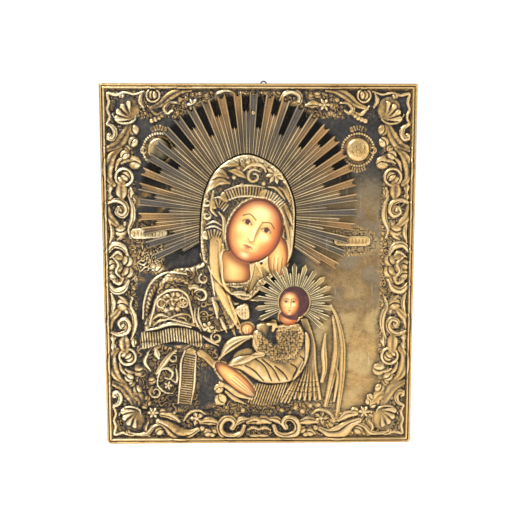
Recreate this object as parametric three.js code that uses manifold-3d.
// Icon panel: a painted wooden board under an embossed gilt-brass cover, with two rayed
// haloes, two nails and a wire hanging eye. The pieces are drawn in the plane of the panel,
// x to the right, y up and z towards the viewer, with the board's front at z = 0, and the
// panel group stands them upright and puts the origin where the eye hangs on its hook.
import * as THREE from 'three';
import { mergeVertices } from 'three/addons/utils/BufferGeometryUtils.js';
import Module from 'manifold-3d';

// Driving dimensions in millimetres: the board and its cover
const PANEL_WIDTH = 267;
const PANEL_HEIGHT = 311;
const BOARD_DEPTH = 22;
const GAP = 0.3;
const SHEET = 0.6;
const FLANGE_DEPTH = 15;
const CORNER_TOP = 1.5;
const CORNER_BOTTOM = 4;
const RIM_BEAD = { half: 1.1, height: 2.6, outer: 1.1, inner: 3.4 };

// Relief heights above the flat ground of the cover
const HOOD_HEIGHT = 4;
const MANTLE_HEIGHT = 2.6;
const CHILD_HEIGHT = 4.6;
const SCROLL_HEIGHT = 2.4;

// The two haloes: where their rays meet, how far they reach and at what height they lie
const MOTHER_HALO = {
  centre: [-9, 46],
  rimCentre: [-9.5, 55],
  rim: 94,
  inner: 30,
  rays: 46,
  phase: -2.8,
  shares: [0.85, 0.72],
  low: 2.4,
  thick: 0.7,
  flute: 0.8,
  from: -36,
  to: 212,
};
const CHILD_HALO = {
  centre: [30.5, -30],
  rimCentre: [30.5, -30],
  rim: 34.5,
  inner: 14.6,
  rays: 22,
  phase: 0,
  shares: [0.84, 0.84],
  low: 4.6,
  thick: 0.6,
  flute: 0.5,
  from: -42,
  to: 206,
};
const RAY_SHARE = 0.25;
const NOTCH = 2;

// The hanging eye, bent from wire, and the two nails
const EYE = { x: 4.4, depth: 18.5, span: 4.6, wire: 1.1, rise: 5.2, leg: 10 };
const HALO_NAIL = { at: [-4.6, 131], head: 1.6, shank: 0.7, seat: 4.2 };
const VEIL_NAIL = { at: [2.1, 4.2], head: 1.3, shank: 0.7, seat: 3.3 };
const NAIL_LENGTH = 12;

// Heights worked out from those above
const GROUND = GAP + SHEET;
const ROOT = GAP + SHEET / 3;
const SKY = 30;
const HALF_WIDTH = PANEL_WIDTH / 2;
const HALF_HEIGHT = PANEL_HEIGHT / 2;

// Closed solids from three.js geometry, joined and cut
const wasm = await Module();
wasm.setup();

function solidFrom(positions, triangles) {
  const mesh = new wasm.Mesh({
    numProp: 3,
    vertProperties: new Float32Array(positions),
    triVerts: new Uint32Array(triangles),
  });
  return new wasm.Manifold(mesh);
}

function solidOf(geometry) {
  geometry.deleteAttribute('normal');
  geometry.deleteAttribute('uv');
  const welded = mergeVertices(geometry, 1e-4);
  const positions = welded.attributes.position.array;
  const triangles = Array.from(welded.index.array);
  const solid = solidFrom(positions, triangles);
  return solid.volume() > 0 ? solid : solidFrom(positions, triangles.reverse());
}

function meshOf(name, solid, material) {
  const { vertProperties, triVerts } = solid.getMesh();
  const geometry = new THREE.BufferGeometry();
  geometry.setAttribute('position', new THREE.BufferAttribute(vertProperties, 3));
  geometry.setIndex(new THREE.BufferAttribute(triVerts, 1));
  geometry.computeVertexNormals();
  const mesh = new THREE.Mesh(geometry, material);
  mesh.name = name;
  return mesh;
}

function unite(solids) {
  return wasm.Manifold.union(solids);
}

// A flat outline raised from one height to another
function prism(shape, low, high, curveSegments = 3) {
  const geometry = new THREE.ExtrudeGeometry(shape, {
    depth: high - low,
    bevelEnabled: false,
    curveSegments,
  });
  geometry.translate(0, 0, low);
  return solidOf(geometry);
}

function roundedPanel(inset) {
  const x = HALF_WIDTH - inset;
  const y = HALF_HEIGHT - inset;
  const top = Math.max(CORNER_TOP - inset, 0.5);
  const bottom = Math.max(CORNER_BOTTOM - inset, 0.5);
  const shape = new THREE.Shape();
  shape.absarc(x - top, y - top, top, 0, Math.PI / 2);
  shape.absarc(top - x, y - top, top, Math.PI / 2, Math.PI);
  shape.absarc(bottom - x, bottom - y, bottom, Math.PI, 1.5 * Math.PI);
  shape.absarc(x - bottom, bottom - y, bottom, 1.5 * Math.PI, 2 * Math.PI);
  return shape;
}

function oval(x, y, halfWidth, halfHeight, lean = 0) {
  const shape = new THREE.Shape();
  const turn = -THREE.MathUtils.degToRad(lean);
  shape.absellipse(x, y, halfWidth, halfHeight, 0, 2 * Math.PI, false, turn);
  return shape;
}

// A closed body through loops of points, with a fan over the first and the last loop
function loft(loops) {
  const count = loops[0].length;
  const positions = [];
  const triangles = [];
  for (const loop of loops) {
    for (const point of loop) {
      positions.push(point.x, point.y, point.z);
    }
  }
  for (let ring = 0; ring + 1 < loops.length; ring += 1) {
    for (let i = 0; i < count; i += 1) {
      const a = ring * count + i;
      const b = ring * count + ((i + 1) % count);
      triangles.push(a, b, a + count, b, b + count, a + count);
    }
  }
  for (const ring of [0, loops.length - 1]) {
    const middle = new THREE.Vector3();
    loops[ring].forEach((point) => middle.add(point));
    middle.divideScalar(count);
    const centre = positions.length / 3;
    positions.push(middle.x, middle.y, middle.z);
    for (let i = 0; i < count; i += 1) {
      const a = ring * count + i;
      const b = ring * count + ((i + 1) % count);
      triangles.push(...(ring === 0 ? [b, a, centre] : [a, b, centre]));
    }
  }
  const geometry = new THREE.BufferGeometry();
  geometry.setAttribute('position', new THREE.Float32BufferAttribute(positions, 3));
  geometry.setIndex(triangles);
  return solidOf(geometry);
}

function curveThrough(points, closed = false) {
  const vectors = points.map(([x, y]) => new THREE.Vector3(x, y, 0));
  return new THREE.CatmullRomCurve3(vectors, closed, 'centripetal');
}

// A raised stroke with a ridged back, as a scroll, leaf or fold is chased
function stroke(points, half, height, { steps = 4, blunt = 0.25 } = {}) {
  const curve = curveThrough(points);
  const loops = [];
  for (let i = 0; i <= steps; i += 1) {
    const t = i / steps;
    const point = curve.getPointAt(t);
    const tangent = curve.getTangentAt(t);
    const side = new THREE.Vector3(-tangent.y, tangent.x, 0);
    const swell = blunt + (1 - blunt) * Math.sin(Math.PI * t);
    const section = [[-1, 0], [0, 1], [1, 0]];
    loops.push(section.map(([across, up]) => {
      const place = point.clone().addScaledVector(side, across * half * swell);
      place.z = up === 0 ? ROOT : GROUND + up * height * Math.sqrt(swell);
      return place;
    }));
  }
  return loft(loops);
}

// A raised mass with a soft edge, such as a sleeve or a shoulder
function mound(points, height, sides = 12, shares = [1, 0.94, 0.6]) {
  const outline = curveThrough(points, true).getSpacedPoints(sides).slice(0, sides);
  const centre = new THREE.Vector3();
  outline.forEach((point) => centre.add(point));
  centre.divideScalar(sides);
  const last = shares.length - 1;
  return loft(shares.map((share, level) => outline.map((point) => {
    const place = centre.clone().lerp(point, share);
    const risen = 0.6 + (0.4 * (level - 1)) / Math.max(last - 1, 1);
    place.z = level === 0 ? ROOT : GROUND + (last === 1 ? 1 : risen) * height;
    return place;
  })));
}

function dome(x, y, radius, height, sides = 6) {
  const points = [];
  for (let i = 0; i < 6; i += 1) {
    const angle = (i * Math.PI) / 3;
    points.push([x + radius * Math.cos(angle), y + radius * Math.sin(angle)]);
  }
  return mound(points, height, sides, [1, 0.6]);
}

// Points on part of a spiral whose radius runs from one value to another
function spiral(x, y, fromRadius, toRadius, fromDegrees, toDegrees, count = 6) {
  const points = [];
  for (let i = 0; i < count; i += 1) {
    const t = i / (count - 1);
    const radius = THREE.MathUtils.lerp(fromRadius, toRadius, t);
    const angle = THREE.MathUtils.degToRad(THREE.MathUtils.lerp(fromDegrees, toDegrees, t));
    points.push([x + radius * Math.cos(angle), y + radius * Math.sin(angle)]);
  }
  return points;
}

function flip(points, signX, signY) {
  return points.map(([x, y]) => [signX * x, signY * y]);
}

// Scallop shell in a corner: flutes that spread from the hinge towards the corner
function cornerShell(signX, signY) {
  const hinge = [103.5, 125.5];
  const reach = 18;
  const flutes = 5;
  const solids = [];
  for (let i = 0; i < flutes; i += 1) {
    const angle = THREE.MathUtils.degToRad(-4 + (98 * i) / (flutes - 1));
    const end = [hinge[0] + reach * Math.cos(angle), hinge[1] + reach * Math.sin(angle)];
    solids.push(stroke(flip([hinge, end], signX, signY), 2.6, 3.2, { steps: 2, blunt: 0.7 }));
  }
  return solids;
}

// The scroll border, drawn once for a quarter of each side and mirrored to the others
function sideOrnament(signX, signY) {
  const draw = (points, half, height = SCROLL_HEIGHT, options = {}) => (
    stroke(flip(points, signX, signY), half, height, options)
  );
  return [
    draw([[97, 147], [118, 146], [127, 146], [127, 124], [121, 116], [124, 109]], 1.2, 2, { steps: 7 }),
    draw([[113, 118], [116, 108], [122, 102], [128, 100]], 3, 2.2, { steps: 3 }),
    draw([[119, 99], [126, 92], [128, 82], [123, 73]], 2.8, 2.6),
    dome(signX * 113, signY * 96, 2.8, 2),
    draw(spiral(114, 77, 7.5, 6, 20, 290), 1.4, 2, { steps: 6, blunt: 0.5 }),
    dome(signX * 113.5, signY * 77, 3.4, 2.6),
    draw([[116, 71], [116.5, 64], [116, 58]], 3.4, 2.6, { steps: 2 }),
    draw(spiral(119, 50, 9.5, 4.5, 60, 330), 2, 2.6, { steps: 6 }),
    draw([[129, 56], [127, 46], [121, 37], [115, 31]], 2.6, 2.4),
    draw([[112, 13], [116, 19], [124, 20], [129, 15]], 2.2, 2.6),
  ];
}

function sideCartouche(signX) {
  const outline = [[110, 0], [113, 11], [121, 14], [128, 8], [129, -4], [125, -12], [115, -13]];
  const inner = [[125, 9], [118, 4], [120, -3], [116, -9]];
  return [
    mound(flip(outline, signX, 1), 2, 12),
    stroke(flip(inner, signX, 1), 2, 3.2),
  ];
}

function topOrnament(signX) {
  const draw = (points, half, height = SCROLL_HEIGHT, options = {}) => (
    stroke(flip(points, signX, 1), half, height, options)
  );
  return [
    draw(spiral(89, 145.5, 6, 5, 160, 420), 1.3, 2, { steps: 6, blunt: 0.5 }),
    dome(signX * 89, 145.5, 2.8, 2.4),
    draw([[58, 149], [70, 148], [80, 140], [91, 134]], 2.6, 2.6),
    draw(spiral(72, 136, 4.5, 2.5, 100, -120), 1.6, 2),
    dome(signX * 55, 137.5, 4.2, 2),
    draw([[19, 143], [25, 148.5], [32, 146.5], [33, 139]], 1.8, 2.4),
  ];
}

function bottomOrnament(signX) {
  const draw = (points, half, height = SCROLL_HEIGHT, options = {}) => (
    stroke(flip(points, signX, 1), half, height, options)
  );
  return [
    draw(spiral(26, -139.5, 10, 3.5, 200, 560), 2.2, 2.8, { steps: 7 }),
    draw([[2, -134], [9, -135], [17, -139]], 2.6, 2.6, { steps: 4 }),
    draw([[35, -136], [43, -134], [51, -137]], 2.6, 2.4, { steps: 4 }),
    dome(signX * 55, -133, 4.6, 2.4),
    draw([[53, -143], [64, -147], [78, -141], [88, -135], [97, -141]], 3.6, 2.8, { steps: 5 }),
    draw([[69, -136], [78, -129], [88, -128], [96, -122], [103, -114]], 2.8, 2.6, { steps: 5 }),
    draw([[103, -114], [112, -116], [118, -108], [127, -104]], 3, 2.4),
  ];
}

function rimBeads() {
  const solids = [];
  for (const inset of [RIM_BEAD.outer, RIM_BEAD.inner]) {
    const x = HALF_WIDTH - inset;
    const y = HALF_HEIGHT - inset;
    const corners = [[-x, -y], [x, -y], [x, y], [-x, y]];
    corners.forEach((corner, i) => {
      const next = corners[(i + 1) % corners.length];
      solids.push(stroke([corner, next], RIM_BEAD.half, RIM_BEAD.height, { steps: 1, blunt: 1 }));
    });
  }
  return solids;
}

// The mother's dress: hood, inner veil, shoulder, hem and the lower mantle with its bands
const HOOD_OUTLINE = [
  [-9.5, 97], [17, 84], [29.5, 60], [31, 36], [27, 8], [8, -12], [-11, -28],
  [-32, -16], [-48, 8], [-50, 36], [-46, 65], [-34, 86],
];

function motherDress() {
  const shoulder = [
    [-99, -54], [-88, -22], [-74, -2], [-56, 0], [-42, 8], [-30, -16], [-18, -46], [-48, -53],
  ];
  const lowerMantle = [
    [-103, -69], [-72, -66], [-42, -68], [-36, -90], [-34, -118], [-62, -128], [-94, -122],
  ];
  const rightMantle = [[46, -46], [64, -34], [73, -68], [72, -128], [52, -126], [44, -84]];
  return [
    mound(HOOD_OUTLINE, HOOD_HEIGHT, 24),
    mound(shoulder, MANTLE_HEIGHT, 16),
    mound(lowerMantle, MANTLE_HEIGHT - 0.8),
    mound(rightMantle, MANTLE_HEIGHT - 1.2),
    stroke([[-43, 22], [-37, -2], [-27, -30], [-17, -48]], 5.4, 3.6, { blunt: 0.5 }),
    stroke([[-98, -54], [-78, -51], [-60, -51], [-44, -57]], 2.2, 3.2),
    stroke([[-94, -44], [-84, -16], [-68, -4], [-54, -8]], 3, 3.4),
    mound([[-88, -32], [-76, -18], [-62, -24], [-64, -40], [-82, -40]], 3.8, 12),
    stroke([[-90, -92], [-79, -76], [-68, -72]], 2.4, 2.8),
    stroke(spiral(-78, -95, 10, 4, 120, 420), 2, 2.8, { steps: 6 }),
    stroke([[-62, -74], [-62, -96], [-64, -122]], 5.5, 2.6, { steps: 3, blunt: 0.8 }),
    stroke([[-36, -76], [-46, -82], [-52, -100]], 4, 3, { steps: 4 }),
    stroke([[64, -36], [71, -60], [72, -90], [70, -128]], 2.4, 3.6, { blunt: 0.6 }),
    stroke([[65, -52], [67, -78], [64, -104], [58, -122]], 2.6, 3.4, { blunt: 0.6 }),
  ];
}

// The child's dress: shirt, sleeve, draped cloth, fringe and sash
function childDress() {
  const shirt = [[14, -55], [22, -49], [34, -49], [41, -60], [37, -76], [24, -84], [10, -82], [2, -70]];
  const fringe = [[-2, -102], [14, -103], [28, -101], [24, -120], [8, -129], [-6, -122]];
  const cloth = [[-26, -84], [-6, -76], [14, -84], [32, -88], [26, -99], [6, -101], [-12, -94]];
  return [
    mound(shirt, CHILD_HEIGHT),
    stroke([[-7, -58], [0, -68], [10, -77], [22, -82]], 7, 4.6, { blunt: 0.7 }),
    mound(cloth, CHILD_HEIGHT - 0.6),
    mound(fringe, 2.4, 12),
    stroke([[-7, -61], [-20, -65], [-29, -72], [-34, -80]], 4, 4.2, { blunt: 0.35 }),
    stroke([[2, -76], [-10, -76], [-20, -80], [-26, -85]], 4.2, 5.2),
    stroke([[-8, -84], [2, -90], [10, -100]], 2.2, 5.2, { steps: 4 }),
    stroke([[4, -84], [14, -92], [18, -100]], 2.6, 5.4, { steps: 4 }),
    stroke([[36, -46], [43, -58], [44, -74], [36, -96], [22, -118]], 4.4, 4.4, { steps: 5, blunt: 0.6 }),
    stroke([[43, -72], [45, -92], [41, -114]], 5, 2.8, { steps: 4, blunt: 0.8 }),
    stroke([[8, -49], [13, -54]], 3, 4.8, { steps: 2, blunt: 0.8 }),
    stroke([[-30, -100], [-18, -110], [-6, -114]], 3, 3, { steps: 4, blunt: 0.5 }),
    stroke([[-36, -104], [-34, -112], [-24, -117]], 3.6, 3.4, { steps: 4, blunt: 0.6 }),
  ];
}

function medallions() {
  const solids = [];
  for (const side of [-1, 1]) {
    solids.push(dome(side * 84, 100.5, 9.6, 1.1, 12));
    solids.push(stroke([[side * 64, 23], [side * 96, 23.5]], 4.6, 1, { steps: 2, blunt: 0.8 }));
  }
  return solids;
}

// Where the painted picture shows: face, neck and hand, the other hand, the child's head and hand
function openings() {
  const neck = new THREE.Shape();
  neck.moveTo(-30, 14);
  neck.lineTo(-30, -9);
  neck.quadraticCurveTo(-29, -12.5, -24, -12.5);
  neck.lineTo(-12, -12);
  neck.quadraticCurveTo(-7, -10, -8, -3);
  neck.lineTo(-12, 12);
  neck.closePath();
  const shapes = [
    oval(-3.5, 32, 23, 28.5, 24),
    neck,
    oval(16.5, 9.5, 8.3, 17.5, 4),
    oval(-20.5, -98.5, 6.6, 22.5, -49),
    oval(30.5, -30, 12.9, 13.6),
    oval(26, -43, 8, 7),
    oval(-10, -53.5, 5.2, 4.8),
  ];
  return shapes.map((shape) => prism(shape, GAP / 2, SKY, 6));
}

// A rayed plate: long rays with two ridges each, between them short rays of two lengths in turn
function haloReach(halo, angle) {
  const [centreX, centreY] = halo.centre;
  const offset = new THREE.Vector2(centreX - halo.rimCentre[0], centreY - halo.rimCentre[1]);
  const along = offset.x * Math.cos(angle) + offset.y * Math.sin(angle);
  return Math.sqrt(halo.rim ** 2 - offset.lengthSq() + along ** 2) - along;
}

function haloFan(halo) {
  const pitch = (2 * Math.PI) / halo.rays;
  const top = halo.low + halo.thick;
  const profile = [
    new THREE.Vector2(1, halo.low),
    new THREE.Vector2(2, halo.low),
    new THREE.Vector2(2, top),
    new THREE.Vector2(1, top),
    new THREE.Vector2(1, halo.low),
  ];
  const ridge = RAY_SHARE - 0.02;
  const columns = [
    { shift: -RAY_SHARE, long: false, raise: 0 },
    { shift: -ridge, long: true, raise: 1 },
    { shift: 0, long: true, raise: 0.3 },
    { shift: ridge, long: true, raise: 1 },
    { shift: RAY_SHARE, long: false, raise: 0 },
  ];
  const turns = halo.rays * columns.length;
  const geometry = new THREE.LatheGeometry(profile, turns);
  geometry.rotateX(Math.PI / 2);
  const position = geometry.attributes.position;
  for (let i = 0; i < position.count; i += 1) {
    const column = Math.floor(i / profile.length) % turns;
    const ray = Math.floor(column / columns.length);
    const { shift, long, raise } = columns[column % columns.length];
    const angle = (ray + shift) * pitch + THREE.MathUtils.degToRad(90 + halo.phase);
    const reach = haloReach(halo, angle);
    const next = shift > 0 ? 0 : 1;
    const tip = long ? reach - (shift === 0 ? NOTCH : 0) : reach * halo.shares[(ray + next) % 2];
    const outside = Math.hypot(position.getX(i), position.getY(i)) > 1.5;
    const radius = outside ? tip : halo.inner;
    const raised = Math.abs(position.getZ(i)) > halo.low + halo.thick / 2;
    const height = raised ? top + raise * halo.flute : halo.low;
    const x = halo.centre[0] + radius * Math.cos(angle);
    const y = halo.centre[1] + radius * Math.sin(angle);
    position.setXYZ(i, x, y, height);
  }
  return solidOf(geometry);
}

function sector(halo, grow, low, high) {
  const shape = new THREE.Shape();
  const [x, y] = halo.centre;
  const from = THREE.MathUtils.degToRad(halo.from);
  const to = THREE.MathUtils.degToRad(halo.to);
  shape.moveTo(x, y);
  for (let i = 0; i <= 24; i += 1) {
    const angle = THREE.MathUtils.lerp(from, to, i / 24);
    const radius = haloReach(halo, angle) + grow;
    shape.lineTo(x + radius * Math.cos(angle), y + radius * Math.sin(angle));
  }
  shape.closePath();
  return prism(shape, low, high);
}

function hoodBlock(grow) {
  const centre = new THREE.Vector2(-9.5, 36);
  const outline = curveThrough(HOOD_OUTLINE, true).getSpacedPoints(28).slice(0, 28);
  const shape = new THREE.Shape(outline.map((point) => {
    const place = new THREE.Vector2(point.x, point.y);
    const length = place.distanceTo(centre);
    return place.sub(centre).multiplyScalar(1 + grow / length).add(centre);
  }));
  return prism(shape, ROOT, SKY);
}

function motherHalo() {
  return haloFan(MOTHER_HALO)
    .intersect(sector(MOTHER_HALO, 4, 0, SKY))
    .subtract(hoodBlock(GAP + 0.3))
    .subtract(nailHole(HALO_NAIL));
}

function childHalo() {
  return haloFan(CHILD_HALO).intersect(sector(CHILD_HALO, 4, 0, SKY));
}

// Nails: a domed head on a straight shank that runs through the sheet into the board
function nail({ at, head, shank, seat }) {
  const profile = [
    new THREE.Vector2(0, seat - NAIL_LENGTH),
    new THREE.Vector2(shank, seat - NAIL_LENGTH + 2 * shank),
    new THREE.Vector2(shank, seat),
    new THREE.Vector2(head, seat),
    new THREE.Vector2(0.7 * head, seat + 0.4 * head),
    new THREE.Vector2(0, seat + 0.55 * head),
  ];
  const geometry = new THREE.LatheGeometry(profile, 10);
  geometry.rotateX(Math.PI / 2);
  geometry.translate(at[0], at[1], 0);
  return solidOf(geometry);
}

function nailHole({ at, shank }) {
  const geometry = new THREE.CylinderGeometry(shank + GAP, shank + GAP, SKY + NAIL_LENGTH, 10);
  geometry.rotateX(Math.PI / 2);
  geometry.translate(at[0], at[1], (SKY - NAIL_LENGTH) / 2);
  return solidOf(geometry);
}

function nailSeat({ at, head, seat }) {
  const geometry = new THREE.CylinderGeometry(head + GAP, head + GAP, SKY, 10);
  geometry.rotateX(Math.PI / 2);
  geometry.translate(at[0], at[1], seat - GAP + SKY / 2);
  return solidOf(geometry);
}

// The embossed cover: sheet and flange, rim, dress, border, cut open where the paint shows
function cover() {
  const outside = prism(roundedPanel(0), -FLANGE_DEPTH, GROUND);
  const hollow = prism(roundedPanel(SHEET), -2 * FLANGE_DEPTH, GAP);
  const limit = prism(roundedPanel(0), -FLANGE_DEPTH, SKY);
  const relief = [...rimBeads(), ...motherDress(), ...medallions()];
  for (const side of [-1, 1]) {
    relief.push(...topOrnament(side), ...bottomOrnament(side), ...sideCartouche(side));
    for (const end of [-1, 1]) {
      relief.push(...cornerShell(side, end), ...sideOrnament(side, end));
    }
  }
  const underHalo = sector(MOTHER_HALO, GAP, MOTHER_HALO.low - GAP, SKY).subtract(hoodBlock(0));
  const underChildHalo = sector(CHILD_HALO, GAP, CHILD_HALO.low - GAP, SKY);
  return unite([outside.subtract(hollow), ...relief])
    .subtract(underHalo)
    .add(unite(childDress()))
    .intersect(limit)
    .subtract(unite([underChildHalo, ...openings()]))
    .subtract(unite([nailHole(HALO_NAIL), nailHole(VEIL_NAIL), nailSeat(VEIL_NAIL)]));
}

// The board, with clearance for the nails and for the legs of the eye
function eyeLegHole(side) {
  const radius = EYE.wire / 2 + GAP;
  const geometry = new THREE.CylinderGeometry(radius, radius, 2 * (EYE.leg + 1), 8);
  geometry.translate(EYE.x + (side * EYE.span) / 2, boardTop(), -EYE.depth);
  return solidOf(geometry);
}

function boardTop() {
  return HALF_HEIGHT - SHEET - GAP;
}

function board() {
  return prism(roundedPanel(SHEET + GAP), -BOARD_DEPTH, 0)
    .subtract(unite([nailHole(HALO_NAIL), nailHole(VEIL_NAIL)]))
    .subtract(unite([eyeLegHole(-1), eyeLegHole(1)]));
}

// The eye: one length of wire bent to an arch, with both legs driven into the board's top side
function hangingEye() {
  const half = EYE.span / 2;
  const crown = EYE.rise - EYE.wire / 2;
  const shoulder = crown - half;
  const points = [];
  for (const depth of [EYE.leg, EYE.leg / 2]) {
    points.push(new THREE.Vector3(-half, shoulder - depth, 0));
  }
  const arc = 8;
  for (let i = 0; i <= arc; i += 1) {
    const angle = Math.PI * (1 - i / arc);
    points.push(new THREE.Vector3(half * Math.cos(angle), shoulder + half * Math.sin(angle), 0));
  }
  for (const depth of [EYE.leg / 2, EYE.leg]) {
    points.push(new THREE.Vector3(half, shoulder - depth, 0));
  }
  const section = new THREE.Shape();
  section.absarc(0, 0, EYE.wire / 2, 0, 2 * Math.PI);
  const geometry = new THREE.ExtrudeGeometry(section, {
    extrudePath: new THREE.CatmullRomCurve3(points, false, 'centripetal'),
    steps: 16,
    curveSegments: 4,
  });
  geometry.translate(EYE.x, boardTop(), -EYE.depth);
  return solidOf(geometry);
}

// Finishes
function finish(color, roughness, metalness) {
  return new THREE.MeshStandardMaterial({ color, roughness, metalness });
}

const panel = new THREE.Group();
panel.add(
  meshOf('board', board(), finish(0x8a6a45, 0.8, 0)),
  meshOf('cover', cover(), finish(0xa88d58, 0.42, 1)),
  meshOf('mother_halo', motherHalo(), finish(0x9b8765, 0.4, 1)),
  meshOf('child_halo', childHalo(), finish(0xb9a476, 0.4, 1)),
  meshOf('hanging_eye', hangingEye(), finish(0x4a4744, 0.5, 1)),
  meshOf('halo_nail', nail(HALO_NAIL), finish(0xa99468, 0.45, 1)),
  meshOf('veil_nail', nail(VEIL_NAIL), finish(0x4a3a28, 0.6, 1)),
);
panel.rotation.x = Math.PI / 2;
panel.position.set(-EYE.x, -EYE.depth, -(boardTop() + EYE.rise - EYE.wire));

const icon = new THREE.Group();
icon.add(panel);

export default icon;
